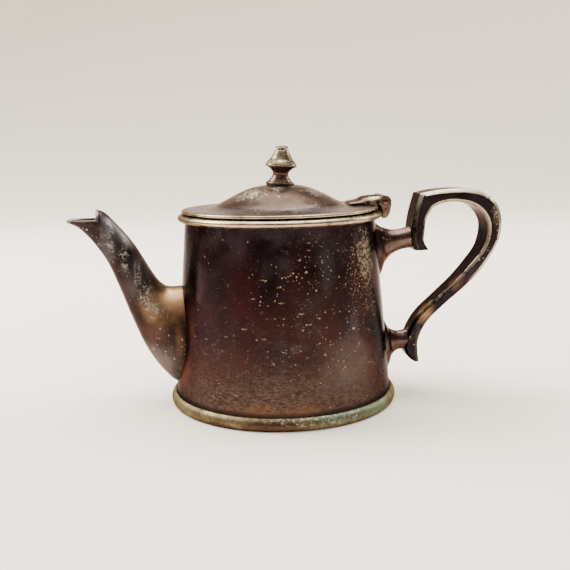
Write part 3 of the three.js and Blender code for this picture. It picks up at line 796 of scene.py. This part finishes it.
def brown_plate(
    name, deep, mid, pale, silver_share, patches=(), rubbed=(), brim=None, wear_edges=False,
    scale=1.0, matte=0.0, silver=OLD_SILVER, edge_tint=(0.42, 0.37, 0.35),
):
    """Tarnished plate for the smaller pieces: cloudy brown, pale rubbed places and specks.

    patches are soft (centre, reach, colour, strength) stains, some of them painted glints,
    highlights and sheen; rubbed are (centre, reach) places where the plate is broken up and
    silver shows through; brim paints the lid's flat edge paler as a painted reflection;
    wear_edges reads the wear kept on the mesh; matte is added to the roughness.
    """
    f = Finish(name, 0.94, edge_tint)
    cloud = f.noise(16 * scale, 5.0, 0.65)
    f.base = f.mix(f.ease(cloud, 0.36, 0.66), deep, mid)
    cloudy = f.ease(f.noise(9 * scale, 6.0, 0.72, shift=(0.7, 0.3, 0.1)), 0.55, 0.72)
    f.stain(pale, cloudy, 0.6)
    if brim is not None:
        # Painted reflection: the lid's flat brim is lightened to stand for the surroundings it reflects.
        painted_brim_reflection = f.ease(f.z, 95.2 * MM, 94.0 * MM)
        f.stain(brim, painted_brim_reflection, f.ease(cloudy, 0, 1, 1.0, 0.6))
    for centre, reach, colour, strength in patches:
        f.stain(colour, f.blot(centre, reach, 0.35, 5.0, 0.1), strength)
    gathered = f.ease(f.noise(14), 0.42, 0.60)
    scattered = f.ease(f.noise(11, 3.0, shift=(0.2, 0.6, 0.3)), 0.42, 0.58)
    marks = f.either(
        f.both(f.specks(2.0, silver_share, 0.3), gathered),
        f.both(f.specks(0.9, silver_share, 0.6), scattered),
    )
    if wear_edges:
        edge = f.add("Attribute", {"attribute_name": "wear"}).outputs["Fac"]
        broken = f.ease(f.noise(2.6, 5.0, 0.7, shift=(0.1, 0.9, 0.4)), 0.28, 0.48)
        bare = f.ease(f.both(edge, broken), 0.30, 0.75)
        marks = f.either(marks, bare)
    broken_up = f.ease(f.noise(1.2, 5.0, 0.8, shift=(0.3, 0.2, 0.8)), 0.47, 0.56)
    for centre, reach in rubbed:
        marks = f.either(marks, f.both(f.blot(centre, reach, 1.0, 4.0, 0.2), broken_up))
    f.stain(silver, marks, 0.85)
    dirt = f.specks(1.4, 0.18, 0.9, 0.08, 0.24)
    f.stain(SOOT, dirt, 0.7)
    satin = f.ease(f.noise(6, 5.0, 0.6), 0.3, 0.7, 0.20 + matte, 0.34 + matte)
    f.roughness(f.math("ADD", satin, f.both(marks, 0.08)))
    f.bump((f.noise(0.7, 3.0), 0.012), (marks, -0.03), (dirt, -0.04), (f.noise(5, 3.0), 0.06))
    return f.done()


def bare_metal(name, pale, dull, pit_share, grime, extra=None, scale=1.0, matte=0.0):
    """Nickel silver with the plate worn off: warm pale metal, brown grime and dark pits.

    grime widens the dirty clouds; extra(finish) adds stains and painted shade of its own.
    """
    f = Finish(name, 1.0)
    cloud = f.noise(11 * scale, 5.0, 0.6)
    f.base = f.mix(f.ease(cloud, 0.36, 0.66), pale, dull)
    threshold = 0.60 - grime * 0.2
    dirty = f.ease(f.noise(7 * scale, 6.0, 0.68, shift=(0.4, 0.8, 0.2)), threshold, threshold + 0.14)
    f.stain((0.13, 0.075, 0.045), dirty, 0.75)
    if extra is not None:
        extra(f)
    pits = f.either(f.specks(1.7, pit_share, 0.5, 0.08, 0.28), f.specks(0.8, pit_share, 0.1, 0.10, 0.32))
    f.stain(SOOT, pits, 0.85)
    satin = f.ease(f.noise(4, 5.0, 0.6), 0.3, 0.7, 0.22 + matte, 0.38 + matte)
    f.roughness(f.math("ADD", satin, f.both(dirty, 0.18)))
    f.bump((f.noise(0.6, 3.0), 0.012), (pits, -0.05), (f.noise(4, 4.0, 0.6), 0.05))
    return f.done()


def foot_patches(f):
    """Brown stains at the front, green corrosion to the right of them, a dark joint above."""
    stain = f.either(
        f.blot((-13, -54, 2), (22, 9, 3.6), 0.9, 4.0),
        f.blot((-34, -43, 1), (12, 10, 2.0), 0.9, 3.0),
    )
    f.stain((0.080, 0.038, 0.026), stain, 0.85)
    green = f.either(
        f.blot((38, -40, 4), (16, 16, 4.5), 1.3, 2.2),
        f.blot((18, -52, 5), (12, 8, 3.0), 1.4, 2.0),
    )
    f.stain(VERDIGRIS, green, 0.75)
    chalk = f.both(f.blot((14, -53, 5), (26, 12, 3.0), 1.3, 1.6), f.ease(f.noise(1.4, 4.0, 0.7), 0.5, 0.6))
    f.stain((0.66, 0.62, 0.50), chalk, 0.7)
    joint = f.ease(f.z, 5.5 * MM, 6.0 * MM)
    f.stain(UMBER, joint)


def cone_tarnish_and_shade(f):
    """Dark mottling left in the hollows of the finial, heavier towards the handle as painted shade on the
    side away from the light.
    """
    mottled = f.ease(f.noise(2.2, 5.0, 0.75, shift=(0.2, 0.1, 0.7)), 0.44, 0.58)
    # Painted shade: the mottling darkens more towards the handle, the side away from the light.
    shaded = f.ease(f.x, (AXIS_X - 4) * MM, (AXIS_X + 7) * MM, 0.55, 1.0)
    above_rim = f.ease(f.z, 114.2 * MM, 115.2 * MM, 0.35, 1.0)
    f.stain((0.060, 0.042, 0.026), mottled, shaded, above_rim, 0.8)
    groove = f.both(f.ease(f.z, 115.4 * MM, 115.9 * MM), f.ease(f.z, 116.8 * MM, 116.3 * MM))
    f.stain((0.050, 0.034, 0.024), groove, 0.7)


def gap_shade_and_dull_end(f):
    """Painted shade in the gap where the brim meets the mouth bead, and a dull end over the spout."""
    # Painted shade: a dark band in the gap between the brim wire and the mouth bead.
    line = f.both(f.ease(f.z, 90.7 * MM, 91.3 * MM), f.ease(f.z, 92.15 * MM, 91.8 * MM))
    dull_end = f.blot((-46, -16, 91), (12, 22, 8), 0.5, 8.0, 0.1)
    f.stain((0.150, 0.105, 0.065), dull_end, 0.7)
    f.stain((0.05, 0.03, 0.02), line, 0.6)


def spout_plate():
    """Brass-coloured root with a painted glint and a painted highlight on its copper edge, red-brown below
    it, grey bulb, a rubbed streak up the side, and painted grey sheen along the upper near side.
    """
    return brown_plate(
        "spout_plate", PLUM, UMBER, GREY_BROWN, 0.20,
        patches=[
            # Painted glint: worn brass at the root, lightened as a reflection of window light.
            ((-54, -10, 51), (16.5, 22, 15), BRASS_WITH_PAINTED_GLINT, 0.97),
            # Painted highlight: a lit copper strip along the edge of the root.
            ((-50, -17, 38), (2.6, 7, 20), COPPER_EDGE_HIGHLIGHT, 0.3),
            ((-93, -4, 85), (7, 9, 6), (0.020, 0.016, 0.019), 0.9),
            ((-86, -10, 70), (9, 10, 17), (0.020, 0.018, 0.031), 0.8),
            ((-62, -12, 20), (17, 16, 16), (0.140, 0.108, 0.092), 0.9),
            ((-63, -14, 37), (13, 12, 7), (0.060, 0.028, 0.022), 0.85),
            # Painted sheen: the five pale grey patches from here on stand in for light reflected along the
            # upper near side.
            ((-78, -3, 82), (10, 7, 16), (0.190, 0.170, 0.178), 0.85),
            ((-82, -7, 87), (4, 7, 8), (0.270, 0.245, 0.250), 0.7),
            ((-69, -6, 64), (8, 8, 17), (0.095, 0.080, 0.078), 0.8),
            ((-74, 0, 86), (10, 14, 18), (0.155, 0.130, 0.124), 0.85),
            ((-64, -2, 68), (9, 14, 14), (0.150, 0.118, 0.106), 0.85),
        ],
        rubbed=[
            ((-80, -6, 84), (2.6, 6, 12)),
            ((-74, -7, 75), (2.6, 6, 12)),
            ((-68, -8, 65), (2.6, 6, 12)),
            ((-64, -10, 55), (5, 6, 10)),
            ((-60, -13, 48), (5, 6, 6)),
        ],
        wear_edges=True,
        matte=0.10,
        silver=(0.420, 0.385, 0.350),
        edge_tint=(0.60, 0.55, 0.54),
    )


def handle_plate():
    """Purple-black faces, bare along the edges, ochre stains low on the tail."""
    return brown_plate(
        "handle_plate", (0.012, 0.008, 0.010), (0.021, 0.014, 0.018), (0.035, 0.027, 0.032), 0.10,
        patches=[
            ((70, -5, 41), (7, 7, 9), OCHRE, 0.9),
            ((85, -5, 56), (6, 6, 7), OCHRE, 0.5),
            ((67.6, -6, 22), (2.6, 6, 14), (0.085, 0.075, 0.055), 0.7),
        ],
        rubbed=[
            ((106, -7, 90), (4, 5, 12)),
            ((68.5, -5, 39.5), (2.2, 4, 3.5)),
            ((73, -5, 45), (2.8, 4, 2.6)),
        ],
        wear_edges=True,
    )


def lid_plate():
    """Brown dome with dark and reddish stains, pale rubbed places, and a flat brim painted paler as a
    painted reflection of the surroundings.
    """
    return brown_plate(
        "lid_plate", (0.052, 0.034, 0.027), (0.088, 0.060, 0.047), (0.142, 0.112, 0.088), 0.30,
        patches=[
            ((4, -22, 99), (16, 12, 6), (0.046, 0.031, 0.022), 0.9),
            ((-10, -27, 97), (14, 12, 5), (0.048, 0.036, 0.025), 0.85),
            ((-2, -35, 95), (7, 6, 3), (0.100, 0.046, 0.028), 0.7),
            ((-24, -14, 98), (8, 12, 5), (0.080, 0.038, 0.028), 0.7),
            ((8, -14, 101), (13, 12, 4), (0.050, 0.030, 0.022), 0.85),
        ],
        rubbed=[
            ((-16, -12, 101), (13, 11, 5)),
            ((20, -8, 101), (12, 14, 4)),
            ((-3, -12, 103), (6, 6, 2)),
        ],
        # Painted reflection on the flat brim.
        brim=(0.155, 0.124, 0.116),
        scale=1.3,
        edge_tint=(0.63, 0.56, 0.52),
    )


def socket_copper():
    """Coppery brown arms, nearly plain."""
    return brown_plate(
        "socket_copper", (0.062, 0.037, 0.033), (0.115, 0.071, 0.059), (0.150, 0.110, 0.090), 0.12,
        rubbed=[((56, -4, 68), (8, 4, 3))],
        scale=0.6,
    )


def hinge_plate():
    """Brown hinge, silver where fingers lift the lid with a painted highlight over it, copper at the end of
    the pin.
    """
    return brown_plate(
        "hinge_plate", (0.075, 0.048, 0.036), (0.115, 0.074, 0.054), (0.21, 0.16, 0.12), 0.20,
        patches=[
            # Worn silver, painted brighter as a highlight on the leaf beside the knuckle.
            ((45.5, -6.5, 97), (4.4, 4, 2.2), OLD_SILVER, 0.8),
            ((HINGE_X, -9.5, HINGE_Z), (1.7, 1.0, 1.7), (0.110, 0.050, 0.032), 0.9),
        ],
        rubbed=[
            ((44.5, -6.5, 96.6), (4.6, 4, 2.6)),
            ((50.5, -9, 97.6), (2.4, 3, 1.4)),
        ],
        scale=0.4,
    )


def spool_plate():
    """Copper-brown neck of the knob, with a silvery top rim and a painted ochre highlight band round its
    foot.
    """
    return brown_plate(
        "finial_spool", (0.095, 0.056, 0.046), (0.150, 0.094, 0.074), (0.26, 0.19, 0.13), 0.24,
        patches=[
            ((1.1, 0, 113.5), (16, 16, 1.7), OLD_SILVER, 0.95),
            # Painted highlight: an ochre band of light round the spool's lower flare.
            ((0.5, 0, 105.7), (14, 14, 0.8), OCHRE, 0.7),
        ],
        scale=0.3,
    )


def finishes():
    """Every finish by the name the pieces ask for it."""
    foot_pale, foot_dull = (0.228, 0.181, 0.094), (0.138, 0.108, 0.060)
    bead_pale, bead_dull = (0.50, 0.405, 0.265), (0.30, 0.235, 0.145)
    cap_pale, cap_dull = (0.36, 0.305, 0.195), (0.15, 0.115, 0.075)
    inside_pale, inside_dull = (0.26, 0.20, 0.15), (0.17, 0.12, 0.085)
    return {
        "wall": tarnished_wall(),
        "spout": spout_plate(),
        "handle": handle_plate(),
        "lid": lid_plate(),
        "socket": socket_copper(),
        "hinge": hinge_plate(),
        "spool": spool_plate(),
        "foot": bare_metal("foot_nickel", foot_pale, foot_dull, 0.30, 0.45, foot_patches, 0.5, 0.18),
        "bead": bare_metal("bead_nickel", bead_pale, bead_dull, 0.12, 0.15, gap_shade_and_dull_end),
        "cap": bare_metal("finial_nickel", cap_pale, cap_dull, 0.40, 0.5, cone_tarnish_and_shade, 0.3),
        "inside": bare_metal("inside_plate", inside_pale, inside_dull, 0.10, 0.2),
    }


# ---- pieces

# Slot names listed in each row.
PLATE, INNER = "tarnished_plate", "inner_plate"
NICKEL, HINGE_METAL = "bare_nickel", "hinge_metal"


def half_round(root, radius, low, high, steps=14):
    """Outline of a half-round moulding: r = root + (radius - root)cos a, z = middle + h sin a."""
    a = np.linspace(-np.pi / 2, np.pi / 2, steps)
    middle, half = (low + high) / 2, (high - low) / 2
    return np.column_stack([root + (radius - root) * np.cos(a), middle + half * np.sin(a)])


def wall_outline(rows=120):
    """Outside up, rounded top edge, inside down."""
    z = np.linspace(WALL_FOOT_Z, WALL_TOP_Z - 0.3, rows)
    outside = np.column_stack([wall_radius(z), z])
    inside = np.column_stack([wall_radius(z) - SHEET, z])[::-1]
    crown = arc((WALL_TOP_RADIUS - SHEET / 2, WALL_TOP_Z - 0.45), SHEET / 2 - 0.05, 20, 160, 6)
    return np.concatenate([outside, crown, inside])


def foot_outline():
    """Flat underside, half-round swell, and a ledge under the wall."""
    inner_radius, ledge_z = 50.8, 1.6
    underside = np.array([[inner_radius, 0.0], [53.6, 0.0]])
    swell = [(53.9, 0.05), (54.8, 0.9), (55.15, 2.2), (54.95, 3.5), (54.3, 4.7), (53.3, 5.6), (52.7, 5.8)]
    ledge = np.array([
        [52.6, 5.75],
        [wall_radius(ledge_z) + 0.25, ledge_z + 0.05],
        [inner_radius, ledge_z],
    ])
    return np.concatenate([underside, along(swell, np.linspace(0, 1, 26)), ledge])


def lid_outline():
    """Top from brim to hole, then the underside back, one sheet thick."""
    top = smooth_outline([
        (LID_RADIUS - LID_EDGE_WIDTH - 0.1, 93.2), (40, 93.35), (35.5, 93.5), (32.6, 93.95), (30.2, 94.8),
        (28.4, 95.9), (25.2, 97.5), (22.0, 99.2), (18.2, 101.0), (14, 102.6), (10, 103.5), (6, 104.0),
        (LID_HOLE_RADIUS, 104.15),
    ])
    under = top - [0, LID_SHEET]
    return np.concatenate([top, under[::-1]])


def lid_edge_outline():
    """Brim wire, rounded outside: two quarter circles and a short straight between them."""
    inner, soft = LID_RADIUS - LID_EDGE_WIDTH, 0.7
    middle = LID_RADIUS - soft
    return np.concatenate([
        [[inner, LID_UNDERSIDE_Z]],
        arc((middle, LID_UNDERSIDE_Z + 0.72), soft, -90, 0, 8),
        arc((middle, LID_UNDERSIDE_Z + 0.82), soft, 0, 90, 8),
        [[inner, LID_UNDERSIDE_Z + 1.5]],
    ])


def leaned(rings):
    """The finial's rings leaned about its base towards the handle."""
    c, s = math.cos(FINIAL_LEAN), math.sin(FINIAL_LEAN)
    x, y, z = rings[..., 0], rings[..., 1], rings[..., 2]
    return np.stack([x * c + z * s + FINIAL_SHIFT, y, z * c - x * s + FINIAL_BASE_Z], axis=-1)


def lobes(a, z):
    """Eight shallow lobes round the button's edge."""
    return 0.10 * np.cos(8 * a) * (z > 16.6) * (z < 17.8)


def bracket_skins():
    """Strap hugging the rim bead, and an ear with its arm at each side."""
    strap = [
        (49.2, 87.2), (50.2, 87.6), (51.2, 88.9), (51.8, 90.6),
        (52.1, 92.6), (51.0, 92.8), (49.4, 91.2), (49.3, 89.5),
    ]
    arm = [
        (48.2, 87.4), (49.6, 87.3), (51.0, 88.2), (52.0, 90.4),
        (52.6, 94.8), (49.6, 96.2), (46.9, 94.6), (47.9, 92.0),
    ]
    strap_half_width = HINGE_HALF_WIDTH - 0.4
    drawn_in = 0.2  # the arm is thinner than the ring it carries
    strap_line = along(strap + strap[:1], np.linspace(0, 1, 40, endpoint=False))
    arm_line = along(arm + arm[:1], np.linspace(0, 1, 48, endpoint=False))
    skins = [skin(slab(strap_line, -strap_half_width, strap_half_width), False)]
    for side in (-1, 1):
        near, far = sorted((side * (KNUCKLE_HALF_LENGTH + EAR_GAP), side * HINGE_HALF_WIDTH))
        skins.append(skin(slab(arm_line, near + drawn_in, far - drawn_in), False))
        skins.append(skin(cross_rod(KNUCKLE_RADIUS, HINGE_X, HINGE_Z, near, far), False))
    return skins


def foot_waver(a, z):
    """The foot is a little out of round."""
    return 0.06 * np.sin(5 * a) + 0.04 * np.sin(9 * a + 1)


def bead_waver(a, z):
    return 0.04 * np.sin(6 * a)


def lid_waver(a, z):
    return 0.04 * np.sin(4 * a + 1)


def floor_outline():
    """Dished floor: the top face outwards, then the underside back, one sheet lower."""
    top = smooth_outline([(0.2, 4.4), (20, 4.4), (40, 4.3), (44, 3.6), (47, 3.2), (51.2, 3.2)])
    return np.concatenate([top, (top - [0, SHEET])[::-1]])


def bead_outline():
    root = wall_radius(BEAD_Z) - 0.1
    return half_round(root, BEAD_RADIUS, BEAD_Z - BEAD_HALF_HEIGHT, BEAD_Z + BEAD_HALF_HEIGHT)


def lip_wear(rings):
    """Wear along the spout's lip, which lies half way through the rings."""
    rows_from_lip = np.abs(np.arange(len(rings)) - len(rings) // 2)
    share = LIP_WEAR * np.clip((LIP_WEAR_ROWS - rows_from_lip) / 3, 0, 1)
    return share[:, None] + np.zeros(rings.shape[:2])


def build(body, metal, rows):
    """Each row: piece, CAD node, finish, slot, skins, then any wear and crease angle."""
    for name, node, finish, slot, skins, *rest in rows:
        piece(name, skins, body, [node], metal[finish], slot, *rest)


def build_pot(metal):
    wall = turned(wall_outline(), 360, handling_dents)
    foot = turned(foot_outline(), 300, foot_waver)
    floor = turned(floor_outline(), 180)
    bead = turned(bead_outline(), 300, bead_waver)
    spout = spout_rings()
    handle, edge_wear = handle_rings()
    upper = socket_rings(UPPER_SOCKET, ridge=0.25)
    lower = socket_rings(LOWER_SOCKET)
    pin_end = HINGE_HALF_WIDTH + PIN_PROUD
    pin = cross_rod(PIN_RADIUS + PIN_PROUD, HINGE_X, HINGE_Z, -pin_end, pin_end, 0.3, 32, 0.2)
    build("pot", metal, [
        ("wall", "body_shell", "wall", PLATE, [skin(wall, True)]),
        ("foot_moulding", "foot_ring", "foot", NICKEL, [skin(foot, True)]),
        ("floor_plate", "base_plate", "inside", INNER, [skin(floor, True)]),
        ("mouth_bead", "rim_bead", "bead", NICKEL, [skin(bead, True)]),
        ("curved_spout", "spout", "spout", PLATE, [skin(spout, True)], lip_wear(spout)),
        ("loop_handle", "handle_grip", "handle", PLATE, [skin(handle, False)], edge_wear, 24),
        ("upper_socket", "upper_handle_socket", "socket", PLATE, [skin(upper, False)]),
        ("lower_socket", "lower_handle_socket", "socket", PLATE, [skin(lower, False)]),
        ("rim_bracket", "hinge_bracket", "hinge", HINGE_METAL, bracket_skins()),
        ("pin", "hinge_pin", "hinge", NICKEL, [skin(pin, False)]),
    ])


def collar_outline():
    inner, outer, bottom = COLLAR_INNER_RADIUS, COLLAR_OUTER_RADIUS, COLLAR_BOTTOM_Z
    return [
        (inner - 0.3, bottom + 0.3), (inner + 0.1, bottom), (outer - 0.2, bottom),
        (outer, bottom + 0.5), (outer, bottom + 6.6), (inner, bottom + 6.6),
        (inner, bottom + 1.0),
    ]


def build_lid(metal):
    dome = turned(lid_outline(), 300, lid_waver)
    wire = turned(lid_edge_outline(), 300, lid_waver)
    collar = turned(collar_outline(), 240)
    knuckle = cross_rod(KNUCKLE_RADIUS, HINGE_X, HINGE_Z, -KNUCKLE_HALF_LENGTH, KNUCKLE_HALF_LENGTH)
    leaf = [skin(leaf_rings(), False), skin(knuckle, False)]
    spool = leaned(turned(smooth_outline(FINIAL_SPOOL, 4), 96))
    cone = leaned(turned(smooth_outline(FINIAL_CONE, 4), 96))
    stud = np.concatenate([FINIAL_STEM, smooth_outline(FINIAL_BUTTON, 4)])
    button = leaned(turned(stud, 96, lobes))
    build("lid", metal, [
        ("lid_dome", "lid_shell", "lid", PLATE, [skin(dome, True)]),
        ("brim_wire", "lid_edge_wire", "bead", NICKEL, [skin(wire, True)]),
        ("mouth_collar", "lid_collar", "inside", INNER, [skin(collar, True)]),
        ("lid_leaf", "lid_hinge_leaf", "hinge", HINGE_METAL, leaf),
        ("knob_spool", "finial_base", "spool", PLATE, [skin(spool, True)]),
        ("knob_cone", "finial_cap", "cap", NICKEL, [skin(cone, True)]),
        ("knob_button", "finial_screw", "bead", NICKEL, [skin(button, False)]),
    ])
    for name in ("finial_washer", "finial_nut"):
        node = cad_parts[name]
        node.data.materials.clear()
        node.data.materials.append(metal["cap"])


# ---- studio


def plain_material(name, colour, roughness, specular):
    material = bpy.data.materials.new(name)
    material.use_nodes = True
    shader = material.node_tree.nodes["Principled BSDF"]
    shader.inputs["Base Color"].default_value = (*colour, 1)
    shader.inputs["Roughness"].default_value = roughness
    shader.inputs["Specular IOR Level"].default_value = specular
    return material


def stage_object(name, points, faces, material):
    """One object of the surroundings from a grid of points in metres."""
    mesh = bpy.data.meshes.new(name)
    mesh.from_pydata(points.reshape(-1, 3), [], faces)
    mesh.materials.append(material)
    obj = placed(name, mesh)
    return obj


def sweep():
    """Round floor that curves up all round: z = 0 inside the rim, then a quarter circle."""
    flat, bend, rows, columns = 1.1, 0.9, 12, 128
    a = np.linspace(0, np.pi / 2, 24)[1:]
    r = np.concatenate([np.linspace(0.02, flat, rows), flat + bend * np.sin(a)])[:, None]
    z = np.concatenate([np.zeros(rows), bend * (1 - np.cos(a))])[:, None]
    turn = np.linspace(0, 2 * np.pi, columns, endpoint=False)[None, :]
    rings = np.stack([r * np.cos(turn), r * np.sin(turn), z + 0 * turn], axis=-1)
    index = np.arange(len(r) * columns).reshape(len(r), columns)
    nxt = np.roll(index, -1, axis=1)
    quads = np.stack([index[:-1], nxt[:-1], nxt[1:], index[1:]], axis=-1)
    faces = quads.reshape(-1, 4)[:, ::-1].tolist()
    faces.append(index[0].tolist())
    cloth = plain_material("pale_sweep", (0.88, 0.785, 0.67), 0.9, 0.1)
    obj = stage_object("sweep", rings, faces, cloth)
    obj.data.polygons.foreach_set("use_smooth", np.ones(len(obj.data.polygons), bool))


def soft_light(name, place, aim, size, power):
    data = bpy.data.lights.new(name, "AREA")
    data.shape = "DISK"
    data.size = size
    data.energy = power
    obj = placed(name, data)
    obj.location = place
    obj.rotation_euler = (Vector(aim) - Vector(place)).to_track_quat("-Z", "Y").to_euler()


def shaded_room():
    """The dim side of the room behind the viewer: a tall arc seen only in the metal."""
    radius, half_turn, middle_turn = 1.0, math.radians(140), math.radians(-96)
    a = middle_turn + np.linspace(-half_turn, half_turn, 64)[:, None]
    z = np.array([[0.03, 0.25, 0.6, 1.15]])
    points = np.stack([radius * np.cos(a) + 0 * z, radius * np.sin(a) + 0 * z, z + 0 * a], axis=-1)
    index = np.arange(points.shape[0] * points.shape[1]).reshape(points.shape[:2])
    quads = np.stack([index[:-1, :-1], index[1:, :-1], index[1:, 1:], index[:-1, 1:]], axis=-1)
    shade = plain_material("room_shade", (0.045, 0.040, 0.042), 1.0, 0.0)
    obj = stage_object("shaded_room", points, quads.reshape(-1, 4).tolist(), shade)
    obj.visible_camera = False
    obj.visible_diffuse = False
    obj.visible_shadow = False


def studio():
    world = bpy.data.worlds.new("daylight")
    world.use_nodes = True
    background = world.node_tree.nodes["Background"]
    background.inputs["Color"].default_value = (1.0, 0.97, 0.93, 1)
    background.inputs["Strength"].default_value = 1.0
    bpy.context.scene.world = world
    middle = (AXIS_X * MM, 0, 0.06)
    soft_light("window", (-0.8, 0.45, 0.85), middle, 0.8, 34.0)
    soft_light("overhead", (0.1, 0.3, 1.3), middle, 1.2, 34.0)
    soft_light("bounce", (0.9, 0.4, 0.5), middle, 0.6, 9.0)
    sweep()
    shaded_room()


def camera():
    """Set up near table level, turned a little to the spout, tilted down and slightly rolled."""
    distance, height = 0.38084, 0.12322
    turn, tilt, roll = math.radians(-6), math.radians(10.113), math.radians(1.161)
    data = bpy.data.cameras.new("camera")
    data.lens = 50
    data.sensor_width = 36
    data.shift_x = 0.0066
    data.clip_start = 0.01
    obj = placed("camera", data)
    spot = Vector((AXIS_X * MM + distance * math.sin(turn), -distance * math.cos(turn), height))
    level = Matrix.Rotation(turn, 4, "Z") @ Matrix.Rotation(math.pi / 2 - tilt, 4, "X")
    obj.matrix_world = Matrix.Translation(spot) @ level @ Matrix.Rotation(-roll, 4, "Z")
    bpy.context.scene.camera = obj


camera()
studio()
metals = finishes()
build_pot(metals)
build_lid(metals)

bpy.context.view_layer.update()
